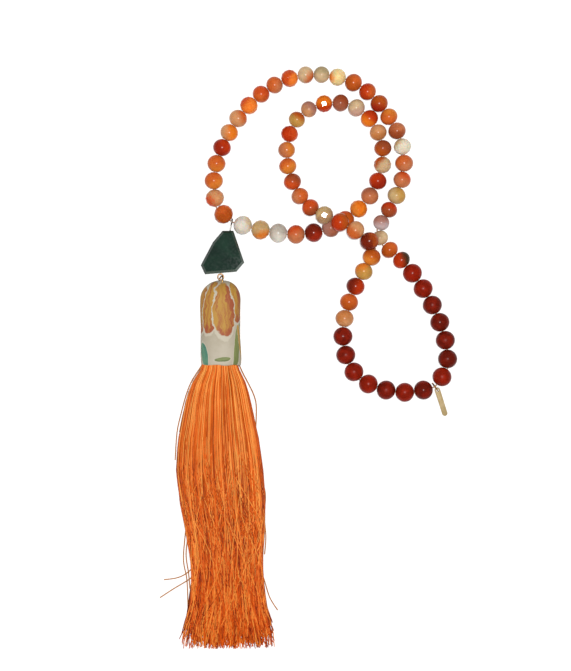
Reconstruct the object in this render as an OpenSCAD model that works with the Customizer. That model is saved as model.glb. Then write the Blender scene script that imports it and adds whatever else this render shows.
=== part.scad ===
// Tassel necklace of faceted agates and carnelians, lying on a flat surface at z = 0.
// The tassel points towards -Y, and the origin is under the middle of the whole piece.

/* [Beads] */
// Diameter of a common faceted agate bead
agate_d = 7.7; // [7.5:0.1:8.5]
// Diameter of a smooth carnelian bead
carnelian_d = 8.6; // [8.2:0.1:9.4]
// Number of carnelian beads in a row
carnelian_count = 14; // [13:1:15]
// Diameter of the hole through every bead
bead_bore = 1.2; // [1.1:0.1:1.5]
// Least gap between two beads on the thread
bead_gap = 0.14; // [0.13:0.01:0.2]
// Thickness of the thread
thread_d = 0.6; // [0.4:0.1:0.7]

/* [Green stone] */
// Width of the stone across its widest corners
stone_w = 20.2; // [18:0.2:24]
// Length of the stone from its top edge to its lowest corner
stone_l = 20.2; // [18:0.2:24]
// Thickness of the stone from table to table
stone_t = 7.2; // [6.4:0.2:8.4]
// Width of the bevel round each table
stone_bevel = 1.1; // [0.6:0.1:1.6]
// Height of the upright edge between the bevels
stone_edge = 4; // [3:0.2:5]
// Distance from the thread down to the stone's top edge
stone_drop = 4.2; // [4:0.2:6]
// Distance from the thread sideways to the stone's middle
stone_shift = 4.3; // [3.5:0.1:5]

/* [Wire and rings] */
// Thickness of the stone pin's wire
pin_wire = 0.6; // [0.5:0.1:0.7]
// Diameter of the pin's eyes, between the middles of the wire
pin_eye = 2.7; // [2.6:0.1:2.8]
// Space that the pin's upper eye takes on the thread
eye_room = 1.5; // [1.5:0.1:2]
// Lean of the pin from the tassel's line, in degrees
pin_lean = 11.5; // [10:0.5:13]
// Distance from the stone's lowest corner to the lower eye's middle
pin_foot = 1.2; // [1:0.1:2]
// Thickness of the link ring's wire
link_wire = 0.6; // [0.5:0.1:0.7]
// Diameter of the link ring, between the middles of the wire
link_d = 5; // [4.8:0.1:5.4]
// Rise of the link ring from the pin's eye into the cap, in degrees
link_rise = 37; // [34:1:40]
// Lean of the link ring out of the upright, in degrees
link_lean = 25; // [15:1:30]
// Room round a wire where it passes through another piece
wire_room = 0.2; // [0.15:0.05:0.3]

/* [Cap] */
// Width of the cap
cap_w = 19; // [17.5:0.5:21]
// Thickness of the cap where it lies
cap_t = 14; // [13:0.5:16]
// Length of the cap
cap_l = 39.5; // [35:0.5:47]
// Length of the cap's rounded end
cap_dome = 9.3; // [8:0.1:11]
// Thickness of the printed leather
cap_wall = 1.2; // [1:0.1:1.6]
// How far the rounded end droops below the cap's middle
cap_droop = 2.8; // [2.2:0.2:3.2]
// Distance from the pin's lower eye to the cap's end
cap_drop = 1.8; // [1.8:0.1:2.2]

/* [Tassel] */
// Widest spread of the tassel above its ends
tassel_w = 40.6; // [36:0.2:46]
// Thickness of the tassel where it is fullest
tassel_t = 11; // [10:0.2:12]
// Length of the tassel below the cap
tassel_l = 131; // [110:1:150]
// Gap between the tassel's head and the cap
head_gap = 0.3; // [0.2:0.05:0.5]
// Number of locks side by side
locks = 11; // [9:1:12]
// Depth of the grooves between locks
lock_groove = 1.3; // [0.8:0.1:1.6]
// Length over which the locks lie apart from each other at their ends
lock_loose = 26; // [18:1:32]
// Difference between the longest and the shortest lock
lock_ragged = 10; // [4:1:14]

/* [Charm] */
// Number of carnelians strung before the charm
charm_after = 7; // [6:1:8]
// Space that the charm ring takes on the thread
charm_room = 2; // [1.8:0.1:2.4]
// Thickness of the charm ring's wire
charm_wire = 0.6; // [0.5:0.1:0.8]
// Diameter of the charm ring, between the middles of the wire
charm_ring_d = 4; // [3.8:0.1:4.4]
// Length of the bar
bar_l = 14; // [12:0.5:16]
// Width of the bar
bar_w = 2.5; // [2.2:0.1:2.8]
// Thickness of the bar
bar_t = 1; // [0.8:0.1:1.2]
// Diameter of the hole in the bar
bar_hole = 1.3; // [1.1:0.1:1.5]
// Angle of the bar from the tassel's line, in degrees
bar_angle = 18; // [12:1:24]

/* [Hidden] */

// Points of the string from the pendant's eye, round and back to it.
// Columns: x and y in mm, and how far the beads lie above the surface as a share of agate_d.
ROUTE = [
    [0, 0, 0], [-5, 3, 0], [-8, 10, 0], [-8, 24, 0], [-2, 40, 0], [7, 53, 0], [19, 63, 0], [33, 68, 0],
    [49, 67, 0], [62, 61, 0], [73, 48, 0], [79, 35, 0], [79, 20, 0], [73, 6, 0], [68, -1, 0],
    [67, -7, 0], [71, -12, 0], [77, -16, 0], [88, -30, 0], [96, -46, 0], [100, -62, 0], [98, -71, 0],
    [90, -78, 0], [72, -78, 0], [57, -71, 0], [51, -54, 0], [54, -37, 0], [60, -24, 0.05],
    [65, -16, 0.45], [66, -8, 0.95], [57, -5, 1.06], [50, 0, 1.06], [42, 3, 0.85], [35, 7, 0.3],
    [28, 18, 0], [25, 33, 0], [30, 48, 0], [43, 55, 0], [58, 53, 0], [68, 41, 0], [70, 27, 0],
    [64, 12, 0], [54, 2, 0], [46, -3, 0], [38, -5, 0], [29, -6, 0], [20, -5, 0], [10, -3, 0]
];

// Agates from the pendant to the carnelians. Columns: share of agate_d, tint.
FIRST_AGATES = [
    [1.12, "rust"], [1.07, "peach"], [1.05, "orange"], [1.05, "orange"], [1.03, "red"],
    [1.01, "peach"], [1.03, "peach"], [1.04, "orange"], [1.00, "red"], [0.98, "rose"],
    [1.02, "orange"], [0.97, "cream"], [0.96, "cream"], [1.02, "cream"], [1.02, "rust"],
    [1.00, "orange"], [1.02, "rust"], [0.99, "orange"], [1.01, "rose"], [1.00, "white"],
    [1.02, "orange"], [1.00, "rose"], [1.03, "honey"], [0.94, "red"], [0.93, "white"],
    [0.90, "cream"], [0.93, "orange"], [0.95, "rust"]
];

// Agates from the carnelians back to the pendant, with the same columns.
LAST_AGATES = [
    [1.04, "peach"], [1.04, "peach"], [1.05, "red"], [1.02, "honey"], [1.03, "orange"],
    [1.08, "garnet"], [1.05, "peach"], [1.06, "red"], [1.06, "honey"], [0.99, "rose"],
    [0.98, "orange"], [1.00, "rose"], [0.98, "orange"], [0.98, "orange"], [0.99, "red"],
    [0.94, "honey"], [0.94, "rose"], [1.01, "orange"], [0.98, "rose"], [1.00, "peach"],
    [1.01, "orange"], [0.98, "peach"], [0.99, "rust"], [1.02, "cream"], [1.02, "rust"],
    [1.03, "rose"], [1.04, "orange"], [1.02, "red"], [1.06, "rose"], [1.09, "garnet"],
    [1.08, "rose"], [1.09, "white"], [1.13, "cream"], [1.12, "white"]
];

TINTS = [
    ["rust", "#B4531F"], ["peach", "#D98A5C"], ["orange", "#DC6A22"], ["red", "#A8321C"],
    ["rose", "#B9735F"], ["cream", "#D2BE94"], ["honey", "#CF9A4A"], ["white", "#DDD2C6"],
    ["garnet", "#7A1C14"], ["carnelian", "#7E1A12"]
];

// Corners of the green stone. Columns: x from its middle as a share of stone_w,
// y from its top edge as a share of stone_l.
STONE = [
    [0, 0], [-0.22, -0.26], [-0.5, -0.79], [-0.4, -1], [0.32, -0.94], [0.5, -0.73], [0.25, 0]
];

// Form of the tassel below the cap. Columns: share of tassel_l, side shift and half width
// as shares of half of tassel_w, half thickness and underside as shares of half of tassel_t.
TASSEL = [
    [0.00, -0.01, 0.36, 0.95, 0.32], [0.03, -0.02, 0.51, 0.98, 0.22],
    [0.06, -0.03, 0.62, 1.00, 0.12], [0.20, -0.05, 0.80, 1.00, 0], [0.36, -0.04, 1.00, 0.95, 0],
    [0.50, 0.01, 0.99, 0.90, 0], [0.64, 0.09, 0.88, 0.82, 0], [0.75, 0.15, 0.81, 0.72, 0],
    [0.87, 0.18, 0.93, 0.62, 0], [0.95, 0.17, 1.10, 0.52, 0], [1.00, 0.17, 1.17, 0.42, 0]
];

bead_sides = 10;
pole_angle = 180 / bead_sides;
round_sides = 32;
route_steps = 12;
thread_sides = 8;
cap_sides = 20;
head_sides = 16;
bead_turn = 47;
fitting_rounds = 5;
crest = 0.42;
sway = 0.06;
side_roundness = 0.98;
tip_taper = 0.55;
web = 0.4;
pin_z = stone_t / 2;

function running(v) = [for (i = 0, s = 0; i <= len(v); s = s + (i < len(v) ? v[i] : 0), i = i + 1) s];
function unit(v) = v / norm(v);
function column(table, c) = [for (row = table) [row[0], row[c]]];
function tint(name) = TINTS[search([name], TINTS)[0]][1];
function wave(i) = sin(137 * i);

// Beads in the order of the string. Columns: radius, whether it is faceted, tint.
BEADS = concat(
    [for (a = FIRST_AGATES) [a[0] * agate_d / 2, true, a[1]]],
    [for (i = [1:carnelian_count]) [carnelian_d / 2, false, "carnelian"]],
    [for (a = LAST_AGATES) [a[0] * agate_d / 2, true, a[1]]]
);
bead_count = len(BEADS);
charm_joint = len(FIRST_AGATES) + charm_after;

// The smooth closed curve through the route's points.
function curve(a, b, c, d, t) = (2 * b + (c - a) * t + (2 * a - 5 * b + 4 * c - d) * t * t
    + (3 * b - a - 3 * c + d) * t * t * t) / 2;
function corner(i) = ROUTE[(i + len(ROUTE)) % len(ROUTE)];
function raised(p) = [p[0], p[1], max(0, p[2]) * agate_d];
SAMPLES = [for (i = [0:len(ROUTE) - 1]) for (k = [0:route_steps - 1])
    raised(curve(corner(i - 1), corner(i), corner(i + 1), corner(i + 2), k / route_steps))];
LOOP = concat(SAMPLES, [SAMPLES[0]]);
TRAVEL = running([for (i = [1:len(LOOP) - 1]) norm(LOOP[i] - LOOP[i - 1])]);
route_l = TRAVEL[len(TRAVEL) - 1];
TRACK = [for (i = [0:len(LOOP) - 1]) [TRAVEL[i] / route_l, LOOP[i][0], LOOP[i][1], LOOP[i][2]]];
TRACK_X = column(TRACK, 1);
TRACK_Y = column(TRACK, 2);
TRACK_Z = column(TRACK, 3);
function lift(share) = lookup(share - floor(share), TRACK_Z);
function on_track(share, scale) = let (s = share - floor(share))
    [scale * lookup(s, TRACK_X), scale * lookup(s, TRACK_Y), lookup(s, TRACK_Z)];

// How far a bead reaches along its hole where the string turns by twice an angle.
function reach(bead, turn) = bead[1]
    ? bead[0] * (cos(pole_angle) + sin(pole_angle) * tan(turn))
    : bead[0] / cos(turn);

// What else sits on the thread at a joint, and how far the middle of a bead lies from the joint.
function room(joint) = joint % bead_count == 0 ? eye_room : joint == charm_joint ? charm_room : 0;
function arm(i, joint, turns) = reach(BEADS[i], turns[joint % bead_count]) + (bead_gap + room(joint)) / 2;

// The place on the track a straight distance further on.
function onward(share, distance, scale) = let (
    here = on_track(share, scale),
    far = distance / (scale * route_l),
    nearer = far * distance / norm(on_track(share + far, scale) - here)
) share + nearer * distance / norm(on_track(share + nearer, scale) - here);

// Lays the beads along the track one after another, and fits the track's size to them round by round.
// The result's columns: scale of the route, places of the joints on it, half turns, bead lengths.
function strung(scale, turns, rounds) = let (
    lengths = [for (i = [0:bead_count - 1]) arm(i, i, turns) + arm(i, i + 1, turns)],
    places = [for (i = 0, s = 0; i <= bead_count;
        s = i < bead_count ? onward(s, lengths[i], scale) : s, i = i + 1) s],
    spots = [for (s = places) on_track(s, scale)],
    ways = [for (i = [0:bead_count - 1]) unit(spots[i + 1] - spots[i])],
    bent = [for (i = [0:bead_count - 1]) acos(min(1, ways[i] * ways[(i + bead_count - 1) % bead_count])) / 2]
) rounds == 0 ? [scale, places, turns, lengths] : strung(scale * places[bead_count], bent, rounds - 1);

STRUNG = strung(1, [for (b = BEADS) 0], fitting_rounds);
route_scale = STRUNG[0];
TURNS = STRUNG[2];

// Each bead lies on its arm's length from the joint before it, at its own height above the surface.
function before(i) = (i + bead_count - 1) % bead_count;
function joint_z(j) = let (mean = (BEADS[before(j)][0] + BEADS[j][0]) / 2)
    j == 0 ? (mean + pin_z) / 2 : mean;
JOINTS = [for (j = [0:bead_count - 1]) on_track(STRUNG[1][j], route_scale) + [0, 0, joint_z(j)]];
function joint(j) = JOINTS[(j + bead_count) % bead_count];
CENTRES = [for (i = [0:bead_count - 1]) let (
    part = arm(i, i, TURNS) / STRUNG[3][i],
    p = (1 - part) * joint(i) + part * joint(i + 1)
) [p[0], p[1], BEADS[i][0] + (1 - part) * lift(STRUNG[1][i]) + part * lift(STRUNG[1][i + 1])]];

// The pendant hangs from the string's first joint.
upper_eye = [JOINTS[0][0], JOINTS[0][1], pin_z];
eye_to_eye = (stone_drop + stone_l + pin_foot) / cos(pin_lean);
lower_eye = upper_eye + eye_to_eye * [-sin(pin_lean), -cos(pin_lean), 0];
stone_top = [upper_eye[0] - stone_shift, upper_eye[1] - stone_drop];
cap_x = lower_eye[0];
cap_end_y = lower_eye[1] - cap_drop;
mouth_y = cap_end_y - cap_l;
tassel_end_y = mouth_y - tassel_l;
spread = tassel_w / 2;
depth = tassel_t / 2;

// The middle of the whole piece, from its outermost sizes.
left_x = cap_x + spread * min([for (row = TASSEL) row[1] - row[2]]);
right_x = max([for (i = [0:bead_count - 1]) CENTRES[i][0] + BEADS[i][0]]);
top_y = max([for (i = [0:bead_count - 1]) CENTRES[i][1] + BEADS[i][0]]);
middle = [(left_x + right_x) / 2, (top_y + tassel_end_y) / 2, 0];

// Closed skin over a list of rings that each have the same number of points.
module skin(rings, closed = false) {
    n = len(rings[0]);
    last = len(rings) - 1;
    sides = [for (i = [0:closed ? last : last - 1]) for (k = [0:n - 1])
        let (next = (i + 1) % len(rings), m = (k + 1) % n)
        [i * n + k, next * n + k, next * n + m, i * n + m]];
    ends = closed ? [] : [[for (k = [0:n - 1]) k], [for (k = [n - 1:-1:0]) last * n + k]];
    polyhedron(points = [for (ring = rings) each ring], faces = concat(sides, ends), convexity = 8);
}

// A ring of points across the tassel's line, from its middle, half width and half thickness.
function oval(x, y, z, w, h, sides) = [for (k = [0:sides - 1])
    let (a = 360 * (k + 0.5) / sides) [x + w * cos(a), y, z + h * sin(a)]];

// Stands a part that points along Z at one point, aimed at another.
module aimed(at, to) {
    way = unit(to - at);
    translate(at) rotate([0, acos(way[2]), atan2(way[1], way[0])]) children();
}

module hole_ring(d, wire) {
    rotate_extrude($fn = round_sides) translate([d / 2, 0]) circle(d = wire, $fn = round_sides);
}

module drilled_bead(i) {
    bead = BEADS[i];
    way = joint(i + 1) - joint(i);
    color(tint(bead[2]))
        aimed(CENTRES[i], CENTRES[i] + way)
            difference() {
                rotate([0, 0, bead_turn * i])
                    sphere(r = bead[0], $fn = bead[1] ? bead_sides : round_sides);
                cylinder(h = 4 * bead[0], d = bead_bore, center = true, $fn = round_sides);
            }
}

module agate_beads() {
    for (i = [0:bead_count - 1]) if (BEADS[i][1]) drilled_bead(i);
}

module carnelian_beads() {
    for (i = [0:bead_count - 1]) if (!BEADS[i][1]) drilled_bead(i);
}

module thread() {
    rings = [for (j = [0:bead_count - 1])
        let (
            way = unit(joint(j + 1) - joint(j - 1)),
            side = unit([-way[1], way[0], 0]),
            up = cross(way, side)
        )
        [for (k = [0:thread_sides - 1]) let (a = 360 * k / thread_sides)
            joint(j) + thread_d / 2 * (cos(a) * side + sin(a) * up)]];
    color("#C9A27E") skin(rings, closed = true);
}

module stone_outline(inset) {
    offset(delta = -inset) polygon([for (p = STONE) [p[0] * stone_w, p[1] * stone_l]]);
}

module green_stone() {
    color("#1F3A2C")
        difference() {
            translate([stone_top[0], stone_top[1], pin_z])
                hull() {
                    linear_extrude(stone_edge, center = true) stone_outline(0);
                    linear_extrude(stone_t, center = true) stone_outline(stone_bevel);
                }
            aimed(upper_eye, lower_eye)
                cylinder(h = eye_to_eye, d = pin_wire + 2 * wire_room, $fn = round_sides);
        }
}

module stone_pin() {
    shank = eye_to_eye - pin_eye;
    color("#8E8C88") {
        translate(upper_eye) rotate([0, 0, -pin_lean]) rotate([0, 90, 0]) hole_ring(pin_eye, pin_wire);
        translate(lower_eye) hole_ring(pin_eye, pin_wire);
        aimed(upper_eye, lower_eye)
            translate([0, 0, pin_eye / 2]) cylinder(h = shank, d = pin_wire, $fn = round_sides);
    }
}

// The link ring reaches from the lower eye up into the cap.
module at_link() {
    translate(lower_eye)
        rotate([0, 0, -90])
            rotate([0, -link_rise, 0])
                rotate([90 - link_lean, 0, 0])
                    translate([link_d / 2, 0, 0]) children();
}

module link_ring() {
    color("#B58A4C") at_link() hole_ring(link_d, link_wire);
}

module link_channel() {
    at_link() hole_ring(link_d, link_wire + 2 * wire_room);
}

// Fullness of the rounded end at a distance from its tip, and the height of the cap's middle there.
function fullness(d, length) = d < length ? sqrt(max(0, 1 - pow(1 - d / length, 2))) : 1;
function cap_z(d) = cap_t / 2 - cap_droop * pow(max(0, 1 - d / cap_dome), 2);

// Rings of the cap at a distance inside its outer face, down to a given depth.
function cap_rings(inside, sides, to) = let (
    dome = cap_dome - inside,
    depths = concat(
        [for (a = [15:15:90]) inside + dome * (1 - cos(a))],
        [for (share = [0.45, 0.7, 1]) share * to]
    )
) [for (d = depths) let (full = fullness(d - inside, dome))
    oval(cap_x, cap_end_y - d, cap_z(d), (cap_w / 2 - inside) * full, (cap_t / 2 - inside) * full, sides)];

module tassel_cap() {
    color("#CDBFA0")
        difference() {
            skin(cap_rings(0, cap_sides, cap_l));
            skin(cap_rings(cap_wall, cap_sides, cap_l + 1));
            link_channel();
        }
}

// The tassel's form at a share of its length: middle, half width, half thickness, underside.
function form(t) = [
    cap_x + spread * lookup(t, column(TASSEL, 1)),
    spread * lookup(t, column(TASSEL, 2)),
    depth * lookup(t, column(TASSEL, 3)),
    depth * lookup(t, column(TASSEL, 4))
];

// How round the tassel's underside is at a share of its length: it settles flat on the surface.
FLATTENING = [[0.03, 1], [0.25, 0.12]];

// How far the locks have come apart at a share of the tassel's length.
LOOSENING = [[0.76, 0], [0.84, 0.12], [0.9, 0.36], [0.95, 0.68], [1, 1]];
LOCK_STEPS = [-0.02, 0, 0.03, 0.07, 0.13, 0.2, 0.28, 0.36, 0.5, 0.64, 0.76, 0.84, 0.9, 0.95, 1];

// The tassel's outline, from its right side over the top to its left side and back below.
// Columns: place from -1 at the left to 1 at the right, 1 above or -1 below or 0 at a side,
// way from the lock's middle to its crest or 0 in a groove, number of the lock.
function lock_middle(i) = 1 - (2 * i + 1) / locks;
OUTLINE = concat(
    [[1, 0, 0, 0]],
    [for (i = [0:locks - 1]) each concat(
        [for (way = [1, -1]) [lock_middle(i), 1, way, i]],
        i < locks - 1 ? [[lock_middle(i) - 1 / locks, 1, 0, i]] : [])],
    [[-1, 0, 0, locks - 1]],
    [for (i = [locks - 1:-1:0]) each concat(
        [for (way = [-1, 1]) [lock_middle(i), -1, way, i]],
        i > 0 ? [[lock_middle(i) + 1 / locks, -1, 0, i]] : [])]
);

// A point of the outline at a share of its lock's length. Between the locks the skin stays further back.
function lock_point(p, t) = let (
    loose = lookup(t, LOOSENING),
    ragged = p[2] == 0 ? 1 / 2 : (1 + wave(p[3])) / 2,
    down = t * (tassel_l - lock_ragged * ragged) - (p[2] == 0 ? lock_loose * loose : 0),
    f = form(down / tassel_l),
    u = p[0] + p[2] * crest / locks * (1 - tip_taper * loose),
    place = u + (1 - abs(u)) * sway * t * sin(200 * t + 83 * p[3]),
    bow = sqrt(1 - side_roundness * place * place),
    under = f[3] + f[2] * (1 - bow) * lookup(down / tassel_l, FLATTENING),
    half = (f[3] + f[2] * (1 + bow) - under) / 2 * (1 - tip_taper * loose),
    inner = max(web / 2, half - lock_groove - half * loose)
) [
    f[0] + f[1] * place,
    mouth_y - down,
    under + half + p[1] * (p[2] == 0 ? inner : half)
];

// The locks are one skin. At its end each point above is joined to the one below it.
module tassel_locks() {
    n = len(OUTLINE);
    last = (len(LOCK_STEPS) - 1) * n;
    polyhedron(
        points = [for (t = LOCK_STEPS) for (p = OUTLINE) lock_point(p, t)],
        faces = concat(
            [[for (k = [0:n - 1]) k]],
            [for (i = [0:len(LOCK_STEPS) - 2]) for (k = [0:n - 1]) let (m = (k + 1) % n)
                [i * n + k, (i + 1) * n + k, (i + 1) * n + m, i * n + m]],
            [for (k = [1:n / 2 - 2]) [last + k + 1, last + k, last + n - k, last + n - k - 1]],
            [[last + 1, last, last + n - 1], [last + n / 2, last + n / 2 - 1, last + n / 2 + 1]]
        ),
        convexity = 8
    );
}

// The head fills the cap, and the locks grow out of its lower end.
module tassel() {
    color("#D96A25")
        difference() {
            union() {
                skin(cap_rings(cap_wall + head_gap, head_sides, cap_l));
                tassel_locks();
            }
            link_channel();
        }
}

// The charm ring stands round the thread between two carnelians, and the bar leans from it.
ring_spot = JOINTS[charm_joint];
ring_way = unit(joint(charm_joint + 1) - joint(charm_joint - 1));
ring_out = unit([-ring_way[1], ring_way[0], 0]);
ring_z = max(
    ring_spot[2] + thread_d / 2 + wire_room - (charm_ring_d - charm_wire) / 2,
    (charm_ring_d + charm_wire) / 2
);
ring_centre = [ring_spot[0], ring_spot[1], ring_z];
bar_hang = ring_centre + ring_out * charm_ring_d / 2;
bar_reach = bar_l - bar_w;
bar_tilt = asin((ring_z - bar_t / 2) / (bar_reach + bar_w / 2));

module charm_ring() {
    color("#C79A4B") translate(ring_centre) rotate([0, 0, atan2(ring_way[1], ring_way[0])]) rotate([0, 90, 0])
        hole_ring(charm_ring_d, charm_wire);
}

module bar_charm() {
    color("#C9AA6A")
        translate(bar_hang)
            rotate([0, 0, bar_angle - 90])
                rotate([0, bar_tilt, 0])
                    difference() {
                        union() {
                            cylinder(h = bar_t, d = bar_w, center = true, $fn = round_sides);
                            translate([bar_reach, 0, 0])
                                cylinder(h = bar_t, d = bar_w, center = true, $fn = round_sides);
                            translate([bar_reach / 2, 0, 0]) cube([bar_reach, bar_w, bar_t], center = true);
                        }
                        cylinder(h = 2 * bar_t, d = bar_hole, center = true, $fn = round_sides);
                    }
}

module placed() {
    translate(-middle) children();
}

placed() agate_beads();
placed() carnelian_beads();
placed() thread();
placed() green_stone();
placed() stone_pin();
placed() link_ring();
placed() tassel_cap();
placed() tassel();
placed() charm_ring();
placed() bar_charm();
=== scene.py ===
"""Looks of a tassel necklace of agates and carnelians, seen from straight above as it lies."""
import math
import random

import bpy
from mathutils import Matrix, Vector, noise


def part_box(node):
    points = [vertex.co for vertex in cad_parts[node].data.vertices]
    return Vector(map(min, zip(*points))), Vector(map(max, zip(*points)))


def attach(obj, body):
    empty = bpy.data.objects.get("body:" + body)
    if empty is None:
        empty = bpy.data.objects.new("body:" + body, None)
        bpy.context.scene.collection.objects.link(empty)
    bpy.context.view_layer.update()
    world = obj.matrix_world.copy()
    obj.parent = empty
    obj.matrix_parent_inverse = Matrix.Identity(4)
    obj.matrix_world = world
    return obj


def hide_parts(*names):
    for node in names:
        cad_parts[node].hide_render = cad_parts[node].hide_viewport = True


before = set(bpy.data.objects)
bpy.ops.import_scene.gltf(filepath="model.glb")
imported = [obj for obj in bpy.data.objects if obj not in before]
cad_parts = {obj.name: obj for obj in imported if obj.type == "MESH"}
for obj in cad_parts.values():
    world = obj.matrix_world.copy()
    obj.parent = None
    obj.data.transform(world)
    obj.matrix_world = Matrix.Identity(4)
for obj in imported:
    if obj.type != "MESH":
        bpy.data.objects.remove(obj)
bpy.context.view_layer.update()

# Camera.
# A long lens hangs straight above the necklace, with the tassel towards the bottom of the picture.
# Each of its 671 rows of pixels covers 0.465 mm at the height of the beads.
MM = 0.001
PIXEL = 0.465 * MM
picture_middle = (-14.2 * MM, 10 * MM)
picture_height = 671 * PIXEL
camera_height = 1300 * MM
beads_height = 4 * MM
sensor_height = 24
bpy.ops.object.camera_add(location=(*picture_middle, camera_height), rotation=(0, 0, 0))
camera = bpy.context.object
camera.name = "overhead_camera"
camera.data.sensor_fit = "VERTICAL"
camera.data.sensor_height = sensor_height
camera.data.lens = sensor_height * (camera_height - beads_height) / picture_height
camera.data.clip_start = 10 * MM
camera.data.clip_end = 20
bpy.context.scene.camera = camera

# Surface and lights.
# The necklace lies on a plain pale table under a small round lamp almost straight above it,
# with soft even light all round.
table_size = 8
table_drop = 0.05 * MM
lamp_height = 1600 * MM
lamp_side = (20 * MM, 20 * MM)
lamp_size = 110 * MM
lamp_power = 28
surround_light = 0.22


def new_material(name):
    """A new material, its node tree and its shader."""
    material = bpy.data.materials.new(name)
    material.use_nodes = True
    return material, material.node_tree, material.node_tree.nodes["Principled BSDF"]


def feed(tree, node, **values):
    """Sets or links the inputs of a node by their names, or by i0, i1 and so on."""
    for name, value in values.items():
        numbered = name[0] == "i" and name[1:].isdigit()
        socket = node.inputs[int(name[1:]) if numbered else name.replace("_", " ")]
        if isinstance(value, bpy.types.NodeSocket):
            tree.links.new(value, socket)
        else:
            socket.default_value = value


def dress(piece, material):
    """Gives a piece one material in place of those it has."""
    piece.data.materials.clear()
    piece.data.materials.append(material)


bpy.ops.object.select_all(action="DESELECT")
bpy.ops.mesh.primitive_plane_add(size=table_size, location=(0, 0, -table_drop))
table_top = bpy.context.object
table_top.name = "pale_table"
pale, pale_tree, pale_shader = new_material("pale_table")
feed(pale_tree, pale_shader, Base_Color=(0.9, 0.9, 0.9, 1), Roughness=0.8, Specular_IOR_Level=0.2)
dress(table_top, pale)

lamp_at = Vector((picture_middle[0] + lamp_side[0], picture_middle[1] + lamp_side[1], lamp_height))
bpy.ops.object.light_add(type="AREA", location=lamp_at)
lamp = bpy.context.object
lamp.name = "round_lamp"
lamp.data.shape = "DISK"
lamp.data.size = lamp_size
lamp.data.energy = lamp_power
lamp.rotation_euler = (Vector((*picture_middle, 0)) - lamp_at).to_track_quat("-Z", "Y").to_euler()

surround = bpy.data.worlds.new("soft_surround")
surround.use_nodes = True
feed(surround.node_tree, surround.node_tree.nodes["Background"], Color=(1, 1, 1, 1), Strength=surround_light)
bpy.context.scene.world = surround
bpy.context.scene.view_settings.view_transform = "Standard"

# Agate beads.
# Sixty-two cut agates in oranges, reds, pinks and creams, each turned to its own side and drilled.
# They are ground round with rows of small facets; the clear ones keep crisp facets, and the cloudy
# ones are worn almost smooth.
STONE_COLOURS = {
    "orange": "D8662A", "amber": "E48430", "flame": "F4801E", "blaze": "FF8C34", "coral": "D6521F",
    "scarlet": "C63A10", "red": "A42A12", "garnet": "7A2210", "rust": "BE561A", "brown": "A34C28",
    "rose": "AC6246", "salmon": "CE7A4E", "peach": "DB9B68", "apricot": "CD8148", "pink": "CFA28E",
    "mauve": "B27A6A", "lilac": "CDB8B8", "cream": "DBBB90", "tan": "B88F68", "olive": "B4A078",
    "straw": "FBDF9E", "honey": "CC9A4C", "sand": "CFAE7A", "milk": "E8E0D2", "ivory": "EFE6CE",
    "grey": "C0B6A8", "black": "4A3420",
}

# The agates in the order of the string. Columns: colour, second colour, the side on which the
# second colour lies in degrees from the picture's right, its share of the bead, the cut.
FIRST_AGATES = [
    ("rust", "orange", 110, 0.3, "crisp"), ("peach", "coral", 215, 0.24, "crisp"),
    ("orange", "amber", 300, 0.3, "soft"), ("orange", "amber", 270, 0.2, "soft"),
    ("red", "scarlet", 30, 0.3, "soft"), ("flame", "peach", 180, 0.3, "soft"),
    ("peach", "orange", 20, 0.26, "soft"), ("blaze", "coral", 140, 0.22, "crisp"),
    ("coral", "orange", 250, 0.3, "soft"), ("orange", "salmon", 330, 0.25, "soft"),
    ("coral", "blaze", 340, 0.32, "crisp"), ("cream", "orange", 320, 0.22, "soft"),
    ("olive", "cream", 260, 0.4, "soft"), ("straw", "flame", 180, 0.12, "crisp"),
    ("rust", "orange", 20, 0.3, "soft"), ("scarlet", "orange", 350, 0.3, "soft"),
    ("rust", "red", 250, 0.3, "soft"), ("orange", "amber", 80, 0.3, "soft"),
    ("brown", "salmon", 80, 0.34, "soft"), ("ivory", "honey", 140, 0.1, "crisp"),
    ("orange", "salmon", 300, 0.4, "soft"), ("salmon", "coral", 60, 0.28, "soft"),
    ("honey", "sand", 200, 0.4, "soft"), ("scarlet", "brown", 250, 0.45, "soft"),
    ("lilac", "mauve", 90, 0.46, "soft"), ("tan", "cream", 0, 0.4, "soft"),
    ("orange", "rust", 240, 0.5, "soft"), ("scarlet", "black", 18, 0.32, "soft"),
]
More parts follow.
